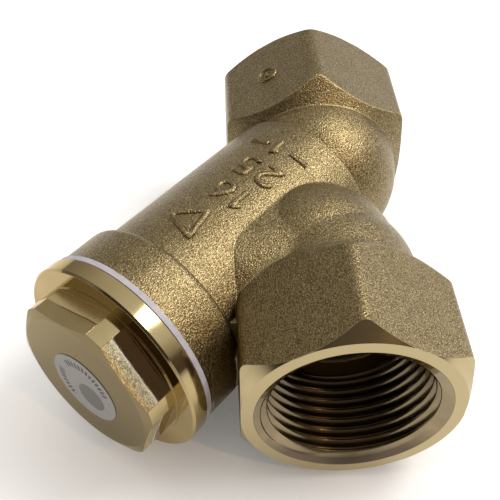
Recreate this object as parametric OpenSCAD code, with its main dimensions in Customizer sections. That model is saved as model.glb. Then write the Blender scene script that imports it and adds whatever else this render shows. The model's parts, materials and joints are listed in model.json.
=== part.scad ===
// Y strainer with two female pipe-thread ends, lying on its side.
// The run is along +X from the inlet face to the outlet face, and the branch
// lies in the XY plane. The origin is the centre of the inlet face.
// All sizes are in millimetres.

/* [Run] */
// Distance between the inlet face and the outlet face
face_to_face = 93.5; // [91:0.5:97]
// Distance from the inlet face to the point where the branch axis leaves the run axis
work_point = 29.4; // [29:0.1:30]
// Angle between the run and the branch, in degrees
branch_angle = 41; // [40:0.5:42]

/* [Port ends] */
// Across flats of the hexagon ends
port_flats = 40; // [39.6:0.1:41]
// Radius of the cast rounding on the hexagon corners
port_corner_round = 2.5; // [1.5:0.1:3]
// Length of the outlet's flats
outlet_flat_len = 23; // [22:0.5:24]
// Length of the inlet's flats
inlet_flat_len = 24.6; // [24:0.2:25.4]
// Angle of the cones that trim the hexagon ends, from the face, in degrees
port_cone = 47; // [44:1:49]
// Radius of the turned ring on each port face
port_ring_r = 20.1; // [19.8:0.1:20.2]
// Radius of the 120 degree countersink on each port face
countersink_r = 17.75; // [17.2:0.05:17.8]
// Major radius of the 1 inch pipe thread
port_thread_r = 16.62; // [16.62]
// Depth of the pipe thread from the face
port_thread_len = 19; // [17:0.5:19]
// Radius of the hole drilled for the thread, which goes on past it
port_drill_r = 15.14; // [15:0.02:15.3]
// Depth of that hole from the face
port_drill_len = 21; // [20:0.5:21]

/* [Passages] */
// Radius of the inlet neck behind its hexagon
neck_r = 18.3; // [18.1:0.1:18.6]
// Wall thickness of the casting
wall = 3; // [2.8:0.1:3.2]
// Radius of the flow way behind each thread
flow_r = 13; // [12:0.5:13.5]
// Centre of the inlet chamber, from the work point
inlet_bulb_x = -2; // [-2.5:0.5:-1]
// Centre of the outlet chamber along the run, from the work point
outlet_bulb_x = 29; // [28.5:0.5:30]
// Offset of the outlet chamber towards the branch
outlet_bulb_y = 3.8; // [3.4:0.1:4.2]
// Outer radius of the outlet chamber
outlet_bulb_r = 18.3; // [18:0.1:18.6]
// Start of the outlet neck along the run, from the work point
outlet_neck_x = 34.8; // [34:0.2:36]
// Offset of the outlet neck towards the branch
outlet_neck_y = 1; // [0.6:0.1:1.4]
// Outer radius of the outlet neck
outlet_neck_r = 18; // [17.8:0.1:18.4]
// Half height of the web that fills the crotch beside the outlet
web_half = 16.7; // [16:0.1:17]
// Where the web starts to round off, from the work point along the run
web_drop = 33; // [32.5:0.5:34]
// Half height of the web where it reaches the collar
web_end_half = 8.8; // [8:0.1:9.6]
// End of the web along the run, from the work point
web_end = 54.4; // [53:0.2:55]

/* [Barrel] */
// Outer radius of the barrel
barrel_r = 18.65; // [18.5:0.05:18.8]
// Distance from the work point to the barrel's inner end
barrel_start = 7.2; // [6.8:0.1:7.6]
// Outer radius of the collar at the barrel's mouth
collar_r = 20.3; // [20:0.1:20.6]
// Distance from the work point to the back of the collar
collar_start = 52; // [50:0.5:53]
// Radius of the rounded back of the collar
collar_round = 1.5; // [1:0.1:1.6]
// Distance from the work point to the collar's face
collar_face = 62; // [61:0.5:63]
// Radius of the screen chamber
chamber_r = 15.6; // [15.4:0.1:15.8]
// Major radius of the cap thread
cap_thread_r = 17; // [17]
// Length of the cap thread in the collar
cap_thread_len = 11; // [10:0.5:11.5]

/* [Screen] */
// Outer radius of the screen
screen_r = 13.9; // [13.7:0.1:14]
// Thickness of the perforated sheet
screen_sheet = 0.6; // [0.5:0.1:0.8]
// Radius of the perforations
hole_r = 0.9; // [0.6:0.1:1]
// Number of perforations around the screen
holes_around = 22; // [16:1:24]
// Distance between rows of perforations
row_pitch = 4; // [3.6:0.1:5]
// Distance from each end of the screen to its first row
plain_end = 5; // [4:0.5:6]
// Gap between the screen and its two seats
seat_gap = 0.35; // [0.3:0.05:0.4]
// Width of the lip that the screen stands on
seat_lip = 1.8; // [1.4:0.1:2.2]

/* [Cap] */
// Outer radius of the cap's flange
flange_r = 20.9; // [20.6:0.1:21.2]
// Thickness of the flange
flange_t = 3.85; // [3.5:0.05:4.2]
// Width of the flange's edge chamfers
flange_edge = 0.4; // [0.3:0.1:0.6]
// Thickness of the gasket
gasket_t = 1.1; // [0.8:0.1:1.5]
// Outer radius of the gasket
gasket_r = 20.6; // [20.3:0.1:20.9]
// Across flats of the cap's head
head_flats = 31; // [30.5:0.1:31.4]
// Radius of the bar that the head is cut from
head_bar_r = 17; // [16.8:0.1:17.2]
// Radius of the flat front of the head
head_front_r = 15.1; // [14.8:0.1:15.3]
// Height of the head above the flange
head_h = 6.75; // [6.25:0.25:8]
// Depth of the chamfer at the front of the head
head_cone_h = 0.6; // [0.4:0.1:0.8]
// Turn of the head's corners about the branch, in degrees
head_turn = 42.5; // [30:0.5:90]
// Root radius of the cap's threaded spigot
spigot_r = 16.1; // [16:0.05:16.2]
// Length of the spigot behind the flange
spigot_len = 10; // [9:0.5:10.5]
// Width of the chamfer at the spigot's end
spigot_edge = 0.8; // [0.4:0.1:1]
// Depth of the recess that holds the screen's end, past the gasket
recess_depth = 1.2; // [0.8:0.1:1.6]
// Radius of the sticker on the head
sticker_r = 7.9; // [7:0.1:9]
// Thickness of the sticker
sticker_t = 0.12; // [0.1:0.01:0.2]
// How far below the middle of the head the sticker sits
sticker_drop = 0.9; // [0:0.1:2]

/* [Hidden] */
$fn = 96;
over = 1;
outlet_x = face_to_face - work_point;
cone_rise = tan(port_cone);
port_reach = port_flats / sqrt(3) + over;
// The inlet neck starts inside its hexagon, this far from the face.
neck_root = 5;
countersink_depth = (countersink_r - port_thread_r) / tan(60);
seat_back = barrel_start + 1.4;
seat_floor = seat_back + 1.7;
chamber_floor = seat_back + wall;
seat_r = screen_r + seat_gap;
flange_back = collar_face + gasket_t;
flange_front = flange_back + flange_t;
milled_step = 0.25;
barrel_edge = 0.4;
// The web's plan: it starts inside the barrel, bends round to run beside the
// hexagon's flats, and ends in a block under the collar with a hollow corner.
web_root = [22, -11.5];
web_side = port_flats / 2 - 0.1;
// The angle the plan turns at the bend, the bend's radius, and how far short of
// the corner the two straight sides stop.
web_bend = atan((web_side + web_root[1]) / (web_drop - web_root[0]));
web_bend_r = 7;
web_ease = web_bend_r * tan(web_bend / 2);
web_block = 8;
web_reach = 26;
web_corner_r = 2;
web_corner_gap = 0.8;
// Height and length of the slope at the block's end.
web_slope = 5;
end_play = 0.4;
screen_start = seat_floor + 0.05;
recess_floor = flange_back + recess_depth;
screen_len = recess_floor - end_play - screen_start;
row_count = floor((screen_len - 2 * plain_end) / row_pitch) + 1;

// Puts local Z along the run, away from the inlet, from the work point.
module along_run() {
    translate([work_point, 0, 0])
        rotate([0, 90, 0])
            children();
}

// Puts local Z along the branch, away from the run, from the work point.
module along_branch() {
    translate([work_point, 0, 0])
        rotate([0, 90, -branch_angle])
            children();
}

// A hexagon with rounded corners, two of them on the X axis.
module rounded_hexagon(flats, corner_round) {
    corner = (flats / 2 - corner_round) / cos(30);
    for (k = [0 : 2])
        rotate([0, 0, 60 * k])
            square([corner, flats], center = true);
    for (k = [0 : 5])
        rotate([0, 0, 60 * k])
            translate([corner, 0])
                circle(r = corner_round);
}

// A hexagon end whose face is at height face, with corners at +X and -X.
module hexagon_end(face, flat_len) {
    flat_r = port_flats / 2;
    shoulder = face - flat_len;
    intersection() {
        linear_extrude(face + over)
            rounded_hexagon(port_flats, port_corner_round);
        rotate_extrude()
            polygon([
                [0, shoulder - (flat_r - neck_r + 1) * cone_rise],
                [neck_r - 1, shoulder - (flat_r - neck_r + 1) * cone_rise],
                [port_reach, shoulder + (port_reach - flat_r) * cone_rise],
                [port_reach, face - (port_reach - port_ring_r) * cone_rise],
                [port_ring_r, face],
                [0, face]
            ]);
    }
}

// The thread hole of a port whose face is at height face: bare at the thread's
// major radius, with its countersink, and the drilled hole that goes on past it.
module port_hole(face) {
    translate([0, 0, face - port_drill_len])
        cylinder(r = port_drill_r, h = port_drill_len);
    translate([0, 0, face - port_thread_len])
        cylinder(r = port_thread_r, h = port_thread_len + over);
    translate([0, 0, face - countersink_depth])
        cylinder(r1 = port_thread_r, r2 = countersink_r, h = countersink_depth);
    translate([0, 0, face])
        cylinder(r = countersink_r, h = over);
}

// The inlet neck, closed by a round chamber over the work point.
module inlet_neck(r) {
    rotate_extrude()
        intersection() {
            union() {
                translate([0, inlet_bulb_x])
                    circle(r = r);
                translate([0, inlet_bulb_x - r])
                    square([r, r]);
                translate([0, neck_root - work_point])
                    square([r, work_point - neck_root + inlet_bulb_x]);
            }
            translate([0, -work_point])
                square([2 * r, 3 * work_point]);
        }
}

// The outlet neck, with the round chamber that gathers the water beside the barrel.
module outlet_neck() {
    translate([0, -outlet_bulb_y, outlet_bulb_x])
        sphere(r = outlet_bulb_r);
    translate([0, -outlet_neck_y, outlet_neck_x]) {
        sphere(r = outlet_neck_r);
        cylinder(r = outlet_neck_r, h = outlet_x - outlet_flat_len + over - outlet_neck_x);
    }
}

// The web's outline seen from above.
module web_plan() {
    difference() {
        union() {
            polygon([
                [outlet_bulb_x, -outlet_bulb_y],
                [web_end, -outlet_bulb_y],
                [web_end, -web_reach],
                [web_end - web_block, -web_reach],
                [web_end - web_block, -web_side],
                [web_drop + web_ease, -web_side],
                [web_drop - web_ease * cos(web_bend), web_ease * sin(web_bend) - web_side],
                web_root
            ]);
            translate([web_drop + web_ease, web_bend_r - web_side])
                circle(r = web_bend_r);
        }
        translate([web_end + web_corner_gap, -web_side - web_corner_r])
            circle(r = web_corner_r);
    }
}

// The web's outline seen from beside the run.
module web_rise() {
    translate([0, -web_half])
        square([web_drop, 2 * web_half]);
    translate([web_drop, 0])
        circle(r = web_half);
    polygon([
        [0, -web_end_half],
        [0, web_end_half],
        [web_end - web_slope, web_end_half],
        [web_end, web_end_half - web_slope],
        [web_end, web_slope - web_end_half],
        [web_end - web_slope, -web_end_half]
    ]);
}

// The web that fills the crotch between the barrel and the outlet's hexagon. It is
// flat above and below, rounds off towards the hexagon, and ends in a low block.
module crotch_web() {
    intersection() {
        linear_extrude(2 * web_half, center = true)
            web_plan();
        rotate([90, 0, 0])
            linear_extrude(2 * web_reach + over, center = true)
                web_rise();
    }
}

// The barrel and its collar, solid.
module barrel() {
    rotate_extrude()
        union() {
            polygon([
                [0, barrel_start],
                [barrel_r - barrel_edge, barrel_start],
                [barrel_r, barrel_start + barrel_edge],
                [barrel_r, collar_face - over],
                [0, collar_face - over]
            ]);
            translate([0, collar_start + collar_round])
                square([collar_r, collar_face - collar_start - collar_round]);
            translate([0, collar_start])
                square([collar_r - collar_round, collar_round + over]);
            translate([collar_r - collar_round, collar_start + collar_round])
                circle(r = collar_round);
        }
}

// Everything hollow along the branch: the seat, the chamber and the cap thread.
module barrel_hollow() {
    translate([0, 0, seat_back - wall])
        cylinder(r = screen_r - seat_lip, h = 2 * wall + over);
    translate([0, 0, seat_floor])
        cylinder(r = seat_r, h = wall);
    translate([0, 0, chamber_floor])
        cylinder(r = chamber_r, h = collar_face - chamber_floor);
    translate([0, 0, collar_face - cap_thread_len])
        cylinder(r = cap_thread_r, h = cap_thread_len + over);
}

// A big block that keeps only what is above height z.
module above(z) {
    translate([-60, -60, z])
        cube([120, 120, 120]);
}

// A big block that keeps only what is below height z.
module below(z) {
    translate([-60, -60, z - 120])
        cube([120, 120, 120]);
}

module body() {
    color("darkkhaki")
        difference() {
            union() {
                along_run() {
                    hexagon_end(outlet_x, outlet_flat_len);
                    mirror([0, 0, 1])
                        hexagon_end(work_point, inlet_flat_len);
                    inlet_neck(neck_r);
                    outlet_neck();
                }
                translate([work_point, 0, 0])
                    crotch_web();
                along_branch()
                    barrel();
            }
            // Inlet way, which ends at the back of the screen seat.
            along_run() {
                mirror([0, 0, 1])
                    port_hole(work_point);
                mirror([0, 0, 1])
                    translate([0, 0, -inlet_bulb_x])
                        cylinder(r = flow_r, h = work_point);
            }
            intersection() {
                along_run()
                    translate([0, 0, inlet_bulb_x])
                        sphere(r = neck_r - wall);
                along_branch()
                    below(seat_back);
            }
            // Outlet way, which starts beside the screen.
            along_run() {
                port_hole(outlet_x);
                translate([0, 0, outlet_bulb_x])
                    cylinder(r = flow_r, h = outlet_x - outlet_bulb_x);
            }
            intersection() {
                along_run()
                    translate([0, -outlet_bulb_y, outlet_bulb_x])
                        sphere(r = outlet_bulb_r - wall);
                along_branch()
                    above(chamber_floor);
            }
            along_branch()
                barrel_hollow();
        }
}

module screen() {
    color("silver")
        along_branch()
            translate([0, 0, screen_start])
                difference() {
                    cylinder(r = screen_r, h = screen_len);
                    translate([0, 0, -over])
                        cylinder(r = screen_r - screen_sheet, h = screen_len + 2 * over);
                    for (row = [0 : row_count - 1])
                        for (k = [0 : holes_around - 1])
                            translate([0, 0, plain_end + row * row_pitch])
                                rotate([0, 0, (k + (row % 2) / 2) * 360 / holes_around])
                                    translate([screen_r - screen_sheet - over, 0, 0])
                                        rotate([0, 90, 0])
                                            cylinder(r = hole_r, h = screen_sheet + 2 * over, $fn = 16);
                }
}

module gasket() {
    color("whitesmoke")
        along_branch()
            translate([0, 0, collar_face])
                difference() {
                    cylinder(r = gasket_r, h = gasket_t);
                    translate([0, 0, -over])
                        cylinder(r = cap_thread_r + 0.1, h = gasket_t + 2 * over);
                }
}

module cap_blank() {
    rotate_extrude()
        polygon([
            [0, -spigot_len],
            [spigot_r - spigot_edge, -spigot_len],
            [spigot_r, spigot_edge - spigot_len],
            [spigot_r, 0],
            [flange_r - flange_edge, 0],
            [flange_r, flange_edge],
            [flange_r, flange_t - flange_edge],
            [flange_r - flange_edge, flange_t],
            [head_bar_r, flange_t],
            [head_bar_r, flange_t + milled_step],
            [0, flange_t + milled_step]
        ]);
}

module cap_head() {
    intersection() {
        rotate([0, 0, head_turn])
            linear_extrude(head_h)
                circle(r = head_flats / sqrt(3), $fn = 6);
        rotate_extrude()
            polygon([
                [0, 0],
                [head_bar_r, 0],
                [head_bar_r, head_h - head_cone_h],
                [head_front_r, head_h],
                [0, head_h]
            ]);
    }
}

module cap() {
    color("gold")
        along_branch()
            translate([0, 0, flange_back])
                difference() {
                    union() {
                        cap_blank();
                        translate([0, 0, flange_t])
                            cap_head();
                    }
                    translate([0, 0, -spigot_len - over])
                        cylinder(r = seat_r, h = recess_floor - flange_back + spigot_len + over);
                }
}

module sticker() {
    color("gainsboro")
        along_branch()
            translate([sticker_drop, 0, flange_front + head_h])
                cylinder(r = sticker_r, h = sticker_t);
}

body();
screen();
gasket();
cap();
sticker();
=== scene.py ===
"""A cast brass Y strainer with two threaded ends, a screen and a screw cap, on a pale floor.

Everything is in metres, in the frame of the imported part: the run goes along +X from the inlet
face at x = 0, and the branch lies in the XY plane towards -Y.
"""

import json
import math

import bmesh
import bpy
from mathutils import Matrix, Vector


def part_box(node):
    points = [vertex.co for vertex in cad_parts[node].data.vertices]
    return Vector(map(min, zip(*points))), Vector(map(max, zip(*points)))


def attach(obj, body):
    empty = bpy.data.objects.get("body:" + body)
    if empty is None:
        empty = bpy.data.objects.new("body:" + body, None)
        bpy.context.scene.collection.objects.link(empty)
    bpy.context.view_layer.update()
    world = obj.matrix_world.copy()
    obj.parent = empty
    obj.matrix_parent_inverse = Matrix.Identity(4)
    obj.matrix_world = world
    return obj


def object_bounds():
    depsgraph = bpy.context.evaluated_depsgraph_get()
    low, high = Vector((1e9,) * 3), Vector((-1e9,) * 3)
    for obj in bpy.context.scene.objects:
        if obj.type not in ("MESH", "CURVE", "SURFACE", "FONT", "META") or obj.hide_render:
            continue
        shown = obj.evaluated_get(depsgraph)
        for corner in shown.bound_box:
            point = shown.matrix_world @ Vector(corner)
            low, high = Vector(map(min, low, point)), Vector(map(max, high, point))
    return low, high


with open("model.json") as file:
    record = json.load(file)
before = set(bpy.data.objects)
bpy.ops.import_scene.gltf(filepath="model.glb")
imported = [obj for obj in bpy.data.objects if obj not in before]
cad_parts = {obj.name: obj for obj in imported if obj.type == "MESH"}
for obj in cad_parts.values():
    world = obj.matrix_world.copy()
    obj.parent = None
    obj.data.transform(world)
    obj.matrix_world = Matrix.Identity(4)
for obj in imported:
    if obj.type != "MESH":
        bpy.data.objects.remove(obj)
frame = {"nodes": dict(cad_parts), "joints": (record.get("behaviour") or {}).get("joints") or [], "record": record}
cad_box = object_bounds()


# ---------------------------------------------------------------------------------------------
# Body. One brass sand casting, shot blasted to an even sparkling grain, with painted shade in
# its corners. The port faces with their cones, countersinks and drilled holes, and the collar's
# face and thread, are machined afterwards and show bare metal. The drilled holes are painted
# darker, as painted shade.
# ---------------------------------------------------------------------------------------------
mm = 0.001
run_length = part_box("body")[1].x
cap_joint = next(j for j in frame["joints"] if j["name"] == "cap_unscrew")
branch_way = Vector(cap_joint["axis"])
branch_foot = Vector(cap_joint["pos_m"])

# The cuts: a turned ring on each port face, the cone outside it that trims the hexagon, the
# hole drilled for the pipe thread, and the collar's face and bore.
face_ring_r = 20.1 * mm
trim_angle = math.radians(47)
hexagon_reach = 25 * mm
countersink_r = 17.78 * mm
drilled_depth = 21.05 * mm
collar_face = 62 * mm
collar_bore_r = 17 * mm
collar_bore_start = 50.9 * mm
# The clearance within which a finish or a thread keeps to the edge that it follows.
hair = 0.02 * mm

# The outlet's neck, between the swelling and the hexagon, and the web's edge beside it.
neck_start = 60 * mm
neck_end = 73.2 * mm
web_edge = -17.5 * mm
cast_corner_r = 0.6 * mm
neck_corner_r = 2.8 * mm

cast_relief = 0.13 * mm
cast_roughness = 0.35
cut_roughness = 0.19

crease_shade_brown = (0.090, 0.060, 0.028, 1)
pit_brown = (0.120, 0.085, 0.041, 1)
cast_brown = (0.240, 0.182, 0.084, 1)
cast_gold = (0.308, 0.240, 0.122, 1)
speck_gold = (0.50, 0.405, 0.225, 1)
rubbed_highlight_gold = (0.52, 0.42, 0.24, 1)
cut_gold = (0.41, 0.335, 0.185, 1)
cut_pale = (0.48, 0.395, 0.225, 1)
drilled_shade_brown = (0.24, 0.18, 0.09, 1)


class Finish:
    """The node tree of one finish, with one short call for each node."""

    def __init__(self, name=None, tree=None):
        if tree is None:
            self.material = bpy.data.materials.new(name)
            self.material.use_nodes = True
            tree = self.material.node_tree
        self.tree = tree
        self.tree.nodes.clear()

    def node(self, kind, inputs=None, **settings):
        """Adds a node, sets its settings, and links or fills its inputs."""
        made = self.tree.nodes.new("ShaderNode" + kind)
        for key, value in settings.items():
            setattr(made, key, value)
        for key, value in (inputs or {}).items():
            if isinstance(value, bpy.types.NodeSocket):
                self.tree.links.new(value, made.inputs[key])
            else:
                made.inputs[key].default_value = value
        return made

    def math(self, operation, a, b=0.0, c=0.0):
        return self.node("Math", {0: a, 1: b, 2: c}, operation=operation).outputs[0]

    def times(self, first, *others):
        """All the values multiplied, so a mask of masks is full only where all of them are."""
        product = first
        for value in others:
            product = self.math("MULTIPLY", product, value)
        return product

    def outside(self, share):
        """Full where the share is nothing, and the other way round."""
        return self.math("SUBTRACT", 1.0, share)

    def fade(self, value, nothing, full):
        """0 where value is at nothing or beyond it, 1 where it is at full or beyond it."""
        return self.node(
            "MapRange", {"Value": value, "From Min": nothing, "From Max": full}, clamp=True
        ).outputs[0]

    def blend(self, share, first, second):
        # Sockets 6 and 7 are the two colours of this node, and its third output is their mix.
        return self.node("Mix", {0: share, 6: first, 7: second}, data_type="RGBA").outputs[2]

    def mottled(self, noise, first, second):
        """The two colours in the pattern of a noise, with soft edges between them."""
        return self.blend(self.fade(noise, 0.3, 0.7), first, second)

    def grain(self, place, size, detail=2.0, roughness=0.5):
        """Noise whose lumps are about as wide as the size given."""
        return self.node(
            "TexNoise",
            {"Vector": place, "Scale": 1.0 / size, "Detail": detail, "Roughness": roughness},
        ).outputs["Fac"]

    def place(self):
        """The point on the piece, in the part's own frame."""
        return self.node("TexCoord").outputs["Object"]

    def point(self, x, y=0.0):
        """A point made from one or two measures, for patterns that follow only those."""
        return self.node("CombineXYZ", {"X": x, "Y": y}).outputs[0]

    def component(self, vector, letter):
        return self.node("SeparateXYZ", {0: vector}).outputs[letter]

    def open_sky(self, reach):
        """1 in the open, and less where other surfaces are within reach."""
        return self.node("AmbientOcclusion", {"Distance": reach}, samples=8).outputs["AO"]

    def vector(self, operation, first, second):
        return self.node("VectorMath", {0: first, 1: second}, operation=operation)

    def dot(self, first, second):
        return self.vector("DOT_PRODUCT", first, second).outputs["Value"]

    def scaled(self, vector, share):
        return self.node("VectorMath", {0: vector, "Scale": share}, operation="SCALE").outputs[0]

    def along(self, place, foot, way):
        """How far the point lies from the foot along the way, and how far from that axis."""
        offset = self.vector("SUBTRACT", place, tuple(foot)).outputs[0]
        height = self.dot(offset, tuple(way))
        across = self.vector("SUBTRACT", offset, self.scaled(tuple(way), height)).outputs[0]
        return height, self.node("VectorMath", {0: across}, operation="LENGTH").outputs["Value"]

    def relief(self, height, depth, normal=None):
        inputs = {"Height": height, "Distance": depth, "Strength": 1.0}
        if normal is not None:
            inputs["Normal"] = normal
        return self.node("Bump", inputs).outputs[0]

    def surface(self, **inputs):
        """The finish's one surface shader."""
        named = {key.replace("_", " "): value for key, value in inputs.items()}
        shader = self.node("BsdfPrincipled", named)
        self.node("OutputMaterial", {"Surface": shader.outputs[0]})
        return self.material


def dress(node, material):
    """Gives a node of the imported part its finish."""
    piece = frame["nodes"][node]
    piece.data.materials.clear()
    piece.data.materials.append(material)


def blasted_brass():
    f = Finish("blasted_brass")
    place = f.place()
    x, run_r = f.along(place, (0, 0, 0), (1, 0, 0))
    out, branch_r = f.along(place, branch_foot, branch_way)

    # Where a tool has cut: the port faces and the cones that trim the hexagons' corners.
    depth = f.math("MINIMUM", x, f.math("SUBTRACT", run_length, x))
    past_ring = f.math("MAXIMUM", f.math("SUBTRACT", run_r, face_ring_r), 0.0)
    below_cone = f.math("MULTIPLY_ADD", past_ring, -math.tan(trim_angle), depth)
    near_run = f.fade(run_r, hexagon_reach + 1 * mm, hexagon_reach)
    trimmed = f.times(f.fade(below_cone, 3 * hair, 1.5 * hair), near_run)
    # The drilled holes with their countersinks, and the collar's face and bore.
    drilled = f.times(
        f.fade(run_r, countersink_r + hair, countersink_r),
        f.fade(depth, drilled_depth + 0.05 * mm, drilled_depth),
    )
    faced = f.fade(out, collar_face - 1.5 * hair, collar_face - 0.5 * hair)
    bored = f.times(
        f.fade(branch_r, collar_bore_r + 2 * hair, collar_bore_r + hair),
        f.fade(out, collar_bore_start - 0.1 * mm, collar_bore_start),
    )
    cut = f.math("MAXIMUM", f.math("MAXIMUM", trimmed, drilled), f.math("MAXIMUM", faced, bored))
    cast = f.outside(cut)

    # The blasted grain lies on slow waves from the sand. Cut faces carry fine turned rings.
    pits = f.grain(place, 0.36 * mm, detail=2.0, roughness=0.6)
    specks = f.grain(place, 0.20 * mm, detail=0.0)
    waves = f.grain(place, 3.2 * mm, detail=2.0)
    rings = f.grain(f.point(f.math("ADD", run_r, x)), 0.11 * mm, detail=2.0)
    skin = f.math("MULTIPLY_ADD", specks, 0.45, pits)
    skin = f.math("MULTIPLY_ADD", waves, 1.2, skin)
    height = f.math("MULTIPLY_ADD", skin, cast, f.times(rings, cut, 0.035))
    # Cast corners are rounded, most of all where the outlet's neck meets the web. Cut corners
    # are crisp.
    neck = f.times(
        f.fade(x, neck_start, neck_start + 3 * mm),
        f.fade(x, neck_end, neck_end - 0.6 * mm),
        f.fade(f.component(place, "Y"), web_edge, web_edge + 2 * mm),
    )
    corner_r = f.math("MULTIPLY_ADD", neck, neck_corner_r - cast_corner_r, cast_corner_r)
    rounded = f.node("Bevel", {"Radius": corner_r}, samples=8).outputs[0]
    plain = f.node("NewGeometry").outputs["Normal"]
    far_from_cut = f.times(cast, f.fade(below_cone, 0.2 * mm, 0.7 * mm))
    # Sockets 4 and 5 are the two vectors of this node, and its second output is their mix.
    corners = f.node(
        "Mix", {0: far_from_cut, 4: plain, 5: rounded}, data_type="VECTOR"
    ).outputs[1]

    # Corners are painted brown as painted shade. Edges that stand proud are lighter, partly rubbed
    # bright and partly a painted highlight.
    open_sky = f.open_sky(1.7 * mm)
    crease_shade = f.times(f.fade(open_sky, 0.85, 0.35), cast, 0.7)
    rubbed_and_highlit = f.times(f.fade(f.dot(plain, rounded), 0.99, 0.88), cast, open_sky)
    tone = f.grain(place, 5.0 * mm, detail=3.0, roughness=0.6)
    colour = f.mottled(tone, cast_brown, cast_gold)
    colour = f.blend(f.fade(pits, 0.60, 0.36), colour, pit_brown)
    colour = f.blend(f.fade(specks, 0.58, 0.72), colour, speck_gold)
    colour = f.blend(crease_shade, colour, crease_shade_brown)
    colour = f.blend(rubbed_and_highlit, colour, rubbed_highlight_gold)
    metal = f.mottled(rings, cut_gold, cut_pale)
    # The drilled holes and their countersinks are painted darker, as painted shade inside them.
    metal = f.blend(drilled, metal, drilled_shade_brown)
    return f.surface(
        Base_Color=f.blend(cut, colour, metal),
        Metallic=1.0,
        Roughness=f.math("MULTIPLY_ADD", cast, cast_roughness - cut_roughness, cut_roughness),
        Normal=f.relief(height, cast_relief, corners),
    )


cast_skin = blasted_brass()
dress("body", cast_skin)


# ---------------------------------------------------------------------------------------------
# Cast marks. Plain figures for the nominal size and the pressure, a flow arrow along the run and
# a ring, cast with the body. Their rounded strokes stand a little under half a millimetre proud.
# ---------------------------------------------------------------------------------------------
stroke_r = 0.78 * mm
stroke_sink = 0.35 * mm
stroke_step = 0.5 * mm
# The marks on the hexagon are finer than those on the barrel.
barrel_share = 1.0
hexagon_share = 0.6
barrel_r = 18.65 * mm
across_branch = Vector((0, 0, 1)).cross(branch_way)


def arc(middle, radius, begin, finish):
    """Points of a circular stroke, from one angle to another in degrees, about 12 apart."""
    count = max(4, round(abs(finish - begin) / 12))
    angles = (math.radians(begin + (finish - begin) * k / count) for k in range(count + 1))
    return [(middle[0] + radius * math.cos(a), middle[1] + radius * math.sin(a)) for a in angles]


# Strokes of each figure, in a cell 0.6 wide and 1 high.
figures = {
    "1": [[(0.12, 0.74), (0.36, 1.0), (0.36, 0.0)]],
    "2": [arc((0.3, 0.7), 0.3, 170, -35) + [(0.0, 0.0), (0.62, 0.0)]],
    "5": [[(0.56, 1.0), (0.1, 1.0), (0.04, 0.55)] + arc((0.28, 0.32), 0.32, 125, -145)],
    "6": [[(0.5, 1.0), (0.2, 0.75)] + arc((0.3, 0.31), 0.31, 165, -195)],
}
strokes = []


def on_barrel(out, round_it):
    """The point that lies this far out along the branch and this far round from its top."""
    turn = round_it / barrel_r
    lift = math.cos(turn) * Vector((0, 0, 1)) + math.sin(turn) * across_branch
    return branch_foot + branch_way * out + lift * (barrel_r - stroke_sink)


def lay_stroke(spots):
    """Lays a stroke on the barrel in short steps, so that it follows the round surface."""
    laid = [on_barrel(*spots[0])]
    for (out, round_it), (next_out, next_round) in zip(spots, spots[1:]):
        steps = max(1, round(math.hypot(next_out - out, next_round - round_it) / stroke_step))
        for k in range(1, steps + 1):
            share = k / steps
            laid.append(
                on_barrel(
                    out + (next_out - out) * share, round_it + (next_round - round_it) * share
                )
            )
    strokes.append((laid, barrel_share))


# Each figure's foot lies so far out along the branch and so far round from the barrel's top. The
# figures stand with their tops towards the cap.
for figure, foot_out, foot_round, figure_height in (
    ("1", 29.9 * mm, 5.4 * mm, 5.2 * mm),
    ("6", 29.9 * mm, 1.0 * mm, 5.2 * mm),
    ("2", 21.0 * mm, 5.6 * mm, 5.4 * mm),
    ("5", 21.0 * mm, 0.2 * mm, 5.4 * mm),
    ("1", 13.4 * mm, 1.3 * mm, 4.2 * mm),
):
    for stroke in figures[figure]:
        lay_stroke(
            [(foot_out + y * figure_height, foot_round - x * figure_height) for x, y in stroke]
        )

# A plain bar lies on each side of the last figure.
bars_out = 15.5 * mm
for begin, finish in ((7.6 * mm, 3.2 * mm), (-2.2 * mm, -6.6 * mm)):
    lay_stroke([(bars_out, begin), (bars_out, finish)])

# The flow arrow lies along the run, with an outlined head.
arrow_foot = (38.2 * mm, -4.2 * mm)
arrow_shaft = 4.0 * mm
arrow_half_width = 3.8 * mm
arrow_length = 10.8 * mm


def on_arrow(ahead, aside):
    """The spot on the barrel that lies this far along the run from the arrow's foot."""
    return (
        arrow_foot[0] + ahead * branch_way.x - aside * across_branch.x,
        arrow_foot[1] + ahead * across_branch.x + aside * branch_way.x,
    )


arrow_corner = on_arrow(arrow_shaft, arrow_half_width)
lay_stroke([on_arrow(0.0, 0.0), on_arrow(arrow_shaft, 0.0)])
lay_stroke(
    [
        arrow_corner,
        on_arrow(arrow_shaft, -arrow_half_width),
        on_arrow(arrow_length, 0.0),
        arrow_corner,
    ]
)

# The ring, with a dash in it, is on the upper flat of the inlet's hexagon, on the branch's side.
flat_way = Vector((0, -0.5, math.sqrt(0.75)))
flat_along = Vector((0, math.sqrt(0.75), 0.5))
flat_level = 19.92 * mm
ring_middle = Vector((12.3 * mm, 0, 0)) + flat_way * flat_level - flat_along * 0.5 * mm
ring_r = 2.1 * mm
dash_half = 0.6 * mm
for stroke in (arc((0, 0), ring_r, 0, 360), ((-dash_half, 0), (dash_half, 0))):
    laid = [ring_middle + Vector((1, 0, 0)) * u + flat_along * v for u, v in stroke]
    strokes.append((laid, hexagon_share))

marks_curve = bpy.data.curves.new("cast_marks", "CURVE")
marks_curve.dimensions = "3D"
marks_curve.bevel_depth = stroke_r
marks_curve.bevel_resolution = 3
marks_curve.use_fill_caps = True
for laid, share in strokes:
    spline = marks_curve.splines.new("POLY")
    spline.points.add(len(laid) - 1)
    for point, spot in zip(spline.points, laid):
        point.co = (*spot, 1.0)
        point.radius = share
    spline.use_smooth = True
marks_curve.materials.append(cast_skin)
cast_marks = bpy.data.objects.new("cast_marks", marks_curve)
bpy.context.scene.collection.objects.link(cast_marks)
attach(cast_marks, "body")
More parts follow.
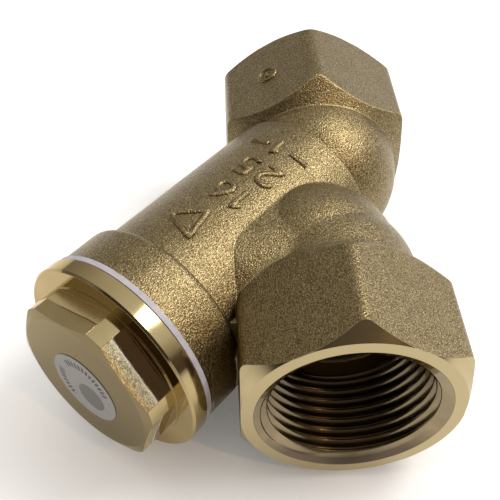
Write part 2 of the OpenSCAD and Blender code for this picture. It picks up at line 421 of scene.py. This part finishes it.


# ---------------------------------------------------------------------------------------------
# Port threads. The female pipe threads of both ends, tapped into the drilled holes: rounded
# ridges, cut back by the countersink at the mouth and running out into the bare hole inside.
# The oil of the cutting is still on them as a clear coat. Their dark colour, darkest deeper in,
# at the roots and at the bottom of the mouth, is painted shade.
# ---------------------------------------------------------------------------------------------
# The pipe thread has 11 turns an inch, and its ridges are as high as the standard says.
pipe_pitch = 25.4 / 11 * mm
pipe_ridge = 0.640327 * pipe_pitch
pipe_thread_end = 18.95 * mm
pipe_thread_turn = 0.333
mouth_r = 17.72 * mm
mouth_slope = -math.tan(math.radians(60))

deep_shade_brown = (0.13, 0.092, 0.046, 1)
root_shade_brown = (0.10, 0.066, 0.030, 1)
low_mouth_shade_brown = (0.085, 0.052, 0.022, 1)
tapped_shaded_dark = (0.21, 0.158, 0.075, 1)
tapped_shaded_light = (0.28, 0.215, 0.108, 1)


def thread_skin(name, root, crest, pitch, start, end, phase=0.0, mouth=None):
    """A threaded tube along local Z. Its ridges rise from radius root to radius crest.

    mouth is (radius, slope): at local Z = 0 the tube is opened to that radius, which changes
    with depth by the slope, as a countersink does.
    """
    around = 120
    rows_a_turn = 18
    run_out = 0.7 * pitch
    # The share of the pitch that is flat at a root or a crest, and how far the rest is rounded.
    flat = 0.03
    rounding = 0.35
    rows = round((end - start) / pitch * rows_a_turn)
    skin = bmesh.new()
    grid = []
    for row in range(rows + 1):
        z = start + (end - start) * row / rows
        groove = min(1.0, (end - z) / run_out)
        ring = []
        for k in range(around):
            angle = 2 * math.pi * k / around
            turn = (z / pitch - angle / (2 * math.pi) + phase) % 1.0
            rise = min(1.0, max(0.0, (1.0 - abs(2.0 * turn - 1.0) - flat) / (1.0 - 2.0 * flat)))
            ridge = (1.0 - rounding) * rise + rounding * rise * rise * (3 - 2 * rise)
            if crest < root:
                radius = crest + (root - crest) * (1.0 - ridge) * groove
            else:
                radius = root + (crest - root) * ridge * groove
            if mouth is not None:
                radius = max(radius, mouth[0] + mouth[1] * z)
            ring.append(skin.verts.new((radius * math.cos(angle), radius * math.sin(angle), z)))
        grid.append(ring)
    for low, high in zip(grid, grid[1:]):
        for k in range(around):
            n = (k + 1) % around
            face = (low[k], low[n], high[n], high[k])
            skin.faces.new(face if crest > root else face[::-1])
    mesh = bpy.data.meshes.new(name)
    skin.to_mesh(mesh)
    skin.free()
    mesh.polygons.foreach_set("use_smooth", [True] * len(mesh.polygons))
    piece = bpy.data.objects.new(name, mesh)
    bpy.context.scene.collection.objects.link(piece)
    return piece


def tapped_brass():
    f = Finish("tapped_brass")
    place = f.place()
    depth, radius = f.along(place, (0, 0, 0), (0, 0, 1))
    chatter = f.grain(f.point(radius, depth), 0.25 * mm, detail=2.0)
    stain = f.grain(place, 4.0 * mm, detail=3.0)
    # The threads are painted darker than bare cut brass, as painted shade in the bore. The stain that mottles them
    # is their own.
    colour = f.blend(f.fade(stain, 0.35, 0.7), tapped_shaded_dark, tapped_shaded_light)
    # Painted shade: darker deeper in, and at the roots of the ridges.
    colour = f.blend(f.times(f.fade(depth, 1 * mm, 12 * mm), 0.7), colour, deep_shade_brown)
    colour = f.blend(f.fade(f.open_sky(1.2 * mm), 0.75, 0.25), colour, root_shade_brown)
    # Painted shade also darkens the bottom of the countersink.
    level = f.component(f.node("NewGeometry").outputs["Position"], "Z")
    low_mouth_shade = f.times(f.fade(level, -7 * mm, -13 * mm), f.fade(depth, 1 * mm, 0.7 * mm))
    colour = f.blend(low_mouth_shade, colour, low_mouth_shade_brown)
    return f.surface(
        Base_Color=colour,
        Specular_Tint=(0.80, 0.70, 0.50, 1),
        Metallic=1.0,
        Roughness=f.math("MULTIPLY_ADD", stain, 0.10, 0.20),
        Coat_Weight=1.0,
        Coat_Roughness=0.045,
        Normal=f.relief(chatter, 0.008 * mm),
    )


thread_metal = tapped_brass()
for port in frame["record"]["mounts"]:
    bore_r = port["dims"]["r_mm"] * mm
    inlet = port["axis"][0] < 0
    # Local Z goes into the port from its face.
    ridges = thread_skin(
        "inlet_thread" if inlet else "outlet_thread",
        root=bore_r - hair,
        crest=bore_r - pipe_ridge,
        pitch=pipe_pitch,
        start=hair,
        end=pipe_thread_end,
        phase=pipe_thread_turn,
        mouth=(mouth_r, mouth_slope),
    )
    ridges.data.materials.append(thread_metal)
    inwards = Matrix.Rotation(math.radians(90 if inlet else -90), 4, "Y")
    ridges.matrix_world = Matrix.Translation((0 if inlet else run_length, 0, 0)) @ inwards
    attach(ridges, "body")


# ---------------------------------------------------------------------------------------------
# Screen. A tube rolled from perforated stainless sheet, with the faint lines of rolling. It
# stands on a lip in the casting, and the cap holds its other end.
# ---------------------------------------------------------------------------------------------
steel_grey = (0.42, 0.42, 0.41, 1)
steel_pale = (0.60, 0.60, 0.58, 1)


def rolled_steel():
    f = Finish("rolled_steel")
    out = f.along(f.place(), branch_foot, branch_way)[0]
    lines = f.grain(f.point(out), 0.25 * mm, detail=3.0)
    return f.surface(
        Base_Color=f.mottled(lines, steel_grey, steel_pale),
        Metallic=1.0,
        Roughness=f.math("MULTIPLY_ADD", lines, 0.12, 0.24),
        Normal=f.relief(lines, 0.008 * mm),
    )


dress("screen", rolled_steel())


# ---------------------------------------------------------------------------------------------
# Gasket. A flat ring of white PTFE, pressed between the collar and the cap's flange. It is
# slightly waxy, and grey from handling.
# ---------------------------------------------------------------------------------------------
handled_grey = (0.46, 0.45, 0.52, 1)
ptfe_white = (0.58, 0.57, 0.64, 1)


def pressed_ptfe():
    f = Finish("pressed_ptfe")
    smear = f.grain(f.place(), 1.4 * mm, detail=3.0)
    return f.surface(
        Base_Color=f.mottled(smear, handled_grey, ptfe_white),
        Roughness=0.45,
        Normal=f.relief(smear, 0.01 * mm),
    )


dress("gasket", pressed_ptfe())


# ---------------------------------------------------------------------------------------------
# Cap. Turned from bright brass bar, so its flange and corners mirror the room through very fine
# rings. The flats are milled: a strip along the front of each, and behind it a sweep up to the
# flange. On the side of the outlet the feed was coarse, and the strips there are ribbed. The
# sweeps, the ribbed strips and the front carry painted reflections, highlights and shade.
# ---------------------------------------------------------------------------------------------
# The sticker lies on the head's front.
sticker_spots = [v.co - branch_foot for v in frame["nodes"]["sticker"].data.vertices]
head_front = min(spot.dot(branch_way) for spot in sticker_spots)
flange_front = 66.95 * mm
head_bar_r = 17 * mm
strip_width = 3.1 * mm
strip_wander = 0.5 * mm
# The relief's depth for a height of 1, how steeply the sweep rises, and how far the strip
# stands above its start. The ribs are lower on the fine flats by the first share, and narrower
# than they are long by the second.
cap_relief = 0.06 * mm
coarse_sweep = 0.138
fine_sweep = 0.012
strip_step = 0.6
fine_rib_share = 0.2
rib_narrowness = 0.2

bar_dark = (0.38, 0.295, 0.150, 1)
bar_light = (0.46, 0.370, 0.195, 1)
fine_sweep_painted_light = (0.74, 0.60, 0.33, 1)
coarse_sweep_painted_dark = (0.27, 0.175, 0.085, 1)
rib_valley_painted_shade = (0.34, 0.30, 0.17, 1)
rib_silver_painted_reflection = (0.95, 0.95, 0.76, 1)
rib_brown_painted_shade = (0.42, 0.30, 0.13, 1)
rib_gold_painted_highlight = (0.95, 0.80, 0.45, 1)
edge_highlight_white = (1.0, 1.0, 0.88, 1)
front_painted_upper = (0.205, 0.163, 0.090, 1)
front_painted_lower = (0.125, 0.098, 0.050, 1)


def bright_bar():
    f = Finish("bright_bar")
    place = f.place()
    out, radius = f.along(place, branch_foot, branch_way)
    rings = f.grain(f.point(radius, out), 0.15 * mm)

    # The flats lie inside the bar's radius, between the flange and the front, and face
    # sideways. The front and its rounded corners face along the branch.
    behind_front = f.math("SUBTRACT", head_front, out)
    normal = f.node("NewGeometry").outputs["Normal"]
    forwards = f.dot(normal, tuple(branch_way))
    on_flat = f.times(
        f.fade(forwards, 0.3, 0.2),
        f.fade(radius, head_bar_r - 1.5 * hair, head_bar_r - 2.5 * hair),
        f.fade(out, flange_front + 1.5 * hair, flange_front + 2.5 * hair),
    )
    # The flats that face the outlet are the coarse ones. The room's directions settle which
    # those are, so the coarse strips stay on that side while the cap turns.
    coarse = f.fade(f.dot(normal, tuple(across_branch)), -0.1, 0.1)
    wander = f.grain(place, 3.0 * mm, detail=1.0)
    strip_edge = f.math("MULTIPLY_ADD", wander, strip_wander, strip_width)
    to_edge = f.math("SUBTRACT", strip_edge, behind_front)
    on_strip = f.times(on_flat, f.fade(to_edge, -0.15 * mm, 0.15 * mm))
    behind_strip = f.times(on_flat, f.outside(on_strip))

    # Ribs run along the flats, so they are long across the branch and narrow along it.
    lengthwise = f.scaled(place, rib_narrowness)
    crosswise = f.scaled(tuple(branch_way), f.math("MULTIPLY", out, 1.0 - rib_narrowness))
    squeezed = f.vector("ADD", lengthwise, crosswise).outputs[0]
    ribs = f.grain(squeezed, 0.16 * mm, detail=2.0, roughness=0.6)
    ribs = f.math("ADD", ribs, f.grain(place, 0.22 * mm, detail=1.0))
    rib_share = f.math("MULTIPLY_ADD", coarse, 1.0 - fine_rib_share, fine_rib_share)
    rib_height = f.math("ADD", f.times(ribs, rib_share), strip_step)
    height = f.math("MULTIPLY_ADD", rib_height, on_strip, f.times(rings, 0.012))
    # Behind the strip the cut sweeps up towards the flange.
    past_strip = f.math("MAXIMUM", f.math("MULTIPLY", to_edge, -1.0), 0.0)
    steepness = f.math(
        "MULTIPLY_ADD",
        coarse,
        (coarse_sweep - fine_sweep) / cap_relief,
        fine_sweep / cap_relief,
    )
    height = f.math("ADD", f.times(past_strip, on_flat, steepness), height)
    crisp = f.node("Bevel", {"Radius": 0.12 * mm}, samples=4).outputs[0]

    tint = f.grain(place, 11 * mm, detail=3.0)
    colour = f.mottled(tint, bar_dark, bar_light)
    # Behind the strips the sweeps are painted light on the fine flats and dark on the coarse ones, as painted
    # reflections.
    swept_painted = f.blend(coarse, fine_sweep_painted_light, coarse_sweep_painted_dark)
    colour = f.blend(behind_strip, colour, swept_painted)
    # The ribs are painted silver behind and gold in front, with lighter tops, as painted reflections,
    # and with a painted white highlight where the sweep begins.
    proud = f.fade(ribs, 0.88, 1.16)
    rear_ribs_painted = f.blend(proud, rib_valley_painted_shade, rib_silver_painted_reflection)
    front_ribs_painted = f.blend(proud, rib_brown_painted_shade, rib_gold_painted_highlight)
    strip = f.blend(f.fade(to_edge, 1.6 * mm, 2.6 * mm), rear_ribs_painted, front_ribs_painted)
    edge_highlight = f.fade(f.math("ABSOLUTE", to_edge), 0.85 * mm, 0.25 * mm)
    strip = f.blend(edge_highlight, strip, edge_highlight_white)
    strip = f.blend(coarse, colour, strip)
    colour = f.blend(on_strip, colour, strip)
    # The front and its corners are painted darker than the rest, most of all low down, as a painted
    # dark reflection.
    painted_front_shade = f.times(f.fade(forwards, 0.4, 0.5), f.fade(behind_front, 2.2 * mm, 1.8 * mm))
    low_down = f.fade(f.component(place, "Z"), 3 * mm, -11 * mm)
    front = f.blend(low_down, front_painted_upper, front_painted_lower)
    colour = f.blend(painted_front_shade, colour, front)

    smear = f.grain(place, 2.5 * mm, detail=3.0)
    roughness = f.math("MULTIPLY_ADD", on_strip, 0.20, f.math("MULTIPLY_ADD", smear, 0.08, 0.06))
    fine_sweeps = f.times(behind_strip, f.outside(coarse))
    return f.surface(
        Base_Color=colour,
        Specular_Tint=(0.94, 0.88, 0.76, 1),
        Metallic=1.0,
        Roughness=f.math("MULTIPLY_ADD", fine_sweeps, 0.18, roughness),
        Normal=f.relief(height, cap_relief, crisp),
    )


dress("cap", bright_bar())


# ---------------------------------------------------------------------------------------------
# Cap thread. A fine metric thread holds the cap: ridges on the cap's spigot, and the matching
# ones cut inside the collar. Both follow one helix, so they stay in mesh as the cap turns.
# ---------------------------------------------------------------------------------------------
cap_pitch = 1.5 * mm
# Local Z of this frame points out along the branch.
branch = (
    Matrix.Translation(branch_foot)
    @ Matrix.Rotation(math.atan2(branch_way.y, branch_way.x), 4, "Z")
    @ Matrix.Rotation(math.radians(90), 4, "Y")
)
for name, node, root, crest, start, end, phase in (
    ("collar_thread", "body", 16.98 * mm, 16.2 * mm, 51.2 * mm, 61.95 * mm, 0.0),
    ("cap_thread", "cap", 16.12 * mm, 16.88 * mm, 53.6 * mm, 62.6 * mm, 0.5),
):
    ridges = thread_skin(name, root, crest, cap_pitch, start, end, phase)
    ridges.data.materials.append(thread_metal)
    ridges.matrix_world = branch
    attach(ridges, node)


# ---------------------------------------------------------------------------------------------
# Sticker. A round film on the cap's head, pale grey, with a darker spot beside its middle and
# two bows of short plain ticks in the place of words. It is stuck on a little low.
# ---------------------------------------------------------------------------------------------
sticker_height = (min(s.z for s in sticker_spots) + max(s.z for s in sticker_spots)) / 2
grey_spot_at = (1.5 * mm, -1.7 * mm, 0)
grey_spot_r = 3.3 * mm
# The ticks start at one radius, and their uneven ends lie at the next or past it.
ticks_from = 5.1 * mm
ticks_to = 6.0 * mm
ticks_past = 1.2 * mm
ticks_around = 40.0
# Each bow has the angle of its middle, and the cosines of the way from there to its ends.
bows = ((math.radians(74), 0.515, 0.53), (math.radians(-161), 0.81, 0.82))

film_grey = (0.47, 0.46, 0.46, 1)
film_pale = (0.52, 0.51, 0.50, 1)
spot_grey = (0.155, 0.150, 0.140, 1)
ink_black = (0.012, 0.012, 0.012, 1)


def printed_film():
    f = Finish("printed_film")
    place = f.place()
    offset = f.vector("SUBTRACT", place, tuple(branch_foot)).outputs[0]
    u = f.dot(offset, tuple(across_branch))
    v = f.math("SUBTRACT", f.component(offset, "Z"), sticker_height)
    spot_at = f.point(u, v)
    from_grey_spot = f.vector("DISTANCE", spot_at, grey_spot_at).outputs["Value"]
    grey_spot = f.fade(from_grey_spot, grey_spot_r, grey_spot_r - 0.1 * mm)

    angle = f.math("ARCTAN2", v, u)
    uneven = f.grain(f.point(angle), 0.11, detail=1.0)
    tick_end = f.math("MULTIPLY_ADD", uneven, ticks_past, ticks_to)
    from_middle = f.vector("LENGTH", spot_at, (0, 0, 0)).outputs["Value"]
    band = f.times(
        f.fade(f.math("SUBTRACT", from_middle, tick_end), 0.06 * mm, -0.06 * mm),
        f.fade(from_middle, ticks_from, ticks_from + 0.1 * mm),
    )
    ticks = f.fade(f.math("SINE", f.math("MULTIPLY", angle, ticks_around)), -0.7, -0.1)
    in_bows = f.math(
        "ADD",
        *(
            f.fade(f.math("COSINE", f.math("SUBTRACT", angle, middle)), nothing, full)
            for middle, nothing, full in bows
        ),
    )
    ink = f.times(band, ticks, in_bows)
    fibre = f.grain(place, 1.1 * mm, detail=2.0)
    colour = f.mottled(fibre, film_grey, film_pale)
    colour = f.blend(grey_spot, colour, spot_grey)
    colour = f.blend(ink, colour, ink_black)
    return f.surface(
        Base_Color=colour,
        Roughness=0.4,
        Coat_Weight=0.15,
        Coat_Roughness=0.25,
        Normal=f.relief(fibre, 0.004 * mm),
    )


dress("sticker", printed_film())


# ---------------------------------------------------------------------------------------------
# Floor. A wide pale sheet under the hexagons' lowest corners, which keeps the part's shadow. It
# is painted greyer towards the viewer, as painted shade.
# ---------------------------------------------------------------------------------------------
subject = Vector((0.05, -0.02, 0.0))
floor_half = 20.0
floor_gap = 0.05 * mm
shade_start = 110 * mm
shade_full = 300 * mm
floor_white = (0.86, 0.86, 0.86, 1)
floor_shaded = (0.50, 0.50, 0.50, 1)
# How much the sheet glows in the open and right beside the part, and what the shade takes off.
glow_open = 0.48
glow_beside = 0.08
glow_lost = 0.4

floor_sheet = bmesh.new()
bmesh.ops.create_grid(floor_sheet, x_segments=1, y_segments=1, size=floor_half)
floor_mesh = bpy.data.meshes.new("floor")
floor_sheet.to_mesh(floor_mesh)
floor_sheet.free()
floor = bpy.data.objects.new("floor", floor_mesh)
bpy.context.scene.collection.objects.link(floor)
floor.location = (subject.x, subject.y, cad_box[0].z - floor_gap)

paper = Finish("white_paper")
position = paper.node("NewGeometry").outputs["Position"]
# Painted shade: the sheet is greyer towards the viewer.
shaded = paper.fade(paper.component(position, "X"), shade_start, shade_full)
matt = paper.node("BsdfDiffuse", {"Color": paper.blend(shaded, floor_white, floor_shaded)})
# To the eye and in mirrors the sheet glows up to white, but less beside the part and towards
# the viewer, as painted shade.
level = paper.times(
    paper.math("MULTIPLY_ADD", paper.open_sky(60 * mm), glow_open - glow_beside, glow_beside),
    paper.math("MULTIPLY_ADD", shaded, -glow_lost, 1.0),
)
glow = paper.node("Emission", {"Color": (1, 1, 1, 1), "Strength": level})
path = paper.node("LightPath")
seen = paper.math("MAXIMUM", path.outputs["Is Camera Ray"], path.outputs["Is Glossy Ray"])
seen = paper.math("MAXIMUM", seen, path.outputs["Is Transmission Ray"])
lit = paper.node("AddShader", {0: matt.outputs[0], 1: glow.outputs[0]})
sheet = paper.node("MixShader", {0: seen, 1: matt.outputs[0], 2: lit.outputs[0]})
paper.node("OutputMaterial", {"Surface": sheet.outputs[0]})
floor_mesh.materials.append(paper.material)


# ---------------------------------------------------------------------------------------------
# Room. Pale walls that are lighter overhead and towards the window, with a dark side where the
# viewer stands, which bright metal mirrors. A large window light is high on the right, with a
# small warm lamp nearer the viewer.
# ---------------------------------------------------------------------------------------------
# The walls' strength at eye level, and how much it changes overhead, towards the window and on
# the viewer's side.
wall_strength = 0.42
wall_overhead = 0.45
wall_at_window = 0.5
wall_at_viewer = -0.8
wall_cool = (1.0, 0.98, 0.94, 1)
wall_warm = (1.0, 0.92, 0.82, 1)
viewer_brown = (1.0, 0.82, 0.68, 1)
window_white = (1.0, 0.98, 0.94)
lamp_orange = (1.0, 0.66, 0.30)


def heading(azimuth, elevation):
    """The direction at an azimuth from +X towards +Y and an elevation, in degrees."""
    a, e = math.radians(azimuth), math.radians(elevation)
    return Vector((math.cos(a) * math.cos(e), math.sin(a) * math.cos(e), math.sin(e)))


world = bpy.data.worlds.new("room")
bpy.context.scene.world = world
world.use_nodes = True
room = Finish(tree=world.node_tree)
look = room.node("SeparateXYZ", {0: room.node("TexCoord").outputs["Generated"]}).outputs
walls = room.math("MULTIPLY_ADD", look["Z"], wall_overhead, wall_strength)
# The viewer's side is dark, and reaches further round low down.
low_down = room.fade(look["Z"], 0.35, 0.0)
viewer_side = room.fade(room.math("MULTIPLY_ADD", low_down, 0.25, look["X"]), 0.14, 0.32)
walls = room.times(
    walls,
    room.math("MULTIPLY_ADD", viewer_side, wall_at_viewer, 1.0),
    room.math("MULTIPLY_ADD", look["Y"], wall_at_window, 1.0),
)
colour = room.blend(room.fade(look["Y"], -0.7, 0.3), wall_warm, wall_cool)
colour = room.blend(viewer_side, colour, viewer_brown)
background = room.node("Background", {"Color": colour, "Strength": walls})
room.node("OutputWorld", {"Surface": background.outputs[0]})

stand_distance = 0.8
for name, azimuth, elevation, size, watts, colour in (
    ("window", 102, 53, 0.30, 3.3, window_white),
    ("lamp", 46, 43, 0.012, 0.6, lamp_orange),
):
    light = bpy.data.lights.new(name, "AREA")
    light.shape = "SQUARE"
    light.size = size
    light.energy = watts
    light.color = colour
    stand = bpy.data.objects.new(name, light)
    stand.location = subject + heading(azimuth, elevation) * stand_distance
    stand.rotation_euler = (stand.location - subject).to_track_quat("Z", "Y").to_euler()
    bpy.context.scene.collection.objects.link(stand)


# ---------------------------------------------------------------------------------------------
# Camera. Held close above the outlet, so the near end looks much larger than the far one. It
# looks down along the run by about 48 degrees, with a slight roll.
# ---------------------------------------------------------------------------------------------
camera = bpy.data.cameras.new("camera")
camera.sensor_width = 36
camera.lens = 56.2
camera.shift_x = 0.0371
camera.shift_y = 0.0972
camera.clip_start = 0.01
viewer = bpy.data.objects.new("camera", camera)
bpy.context.scene.collection.objects.link(viewer)
viewer.location = (0.16896, -0.02234, 0.11733)
aim = Vector((0.06527, -0.02066, 0.0))
roll = Matrix.Rotation(math.radians(-1.34), 4, "Z")
turned = (aim - viewer.location).to_track_quat("-Z", "Y").to_matrix().to_4x4()
viewer.rotation_euler = (turned @ roll).to_euler()
bpy.context.scene.camera = viewer

bpy.context.scene.view_settings.view_transform = "Standard"
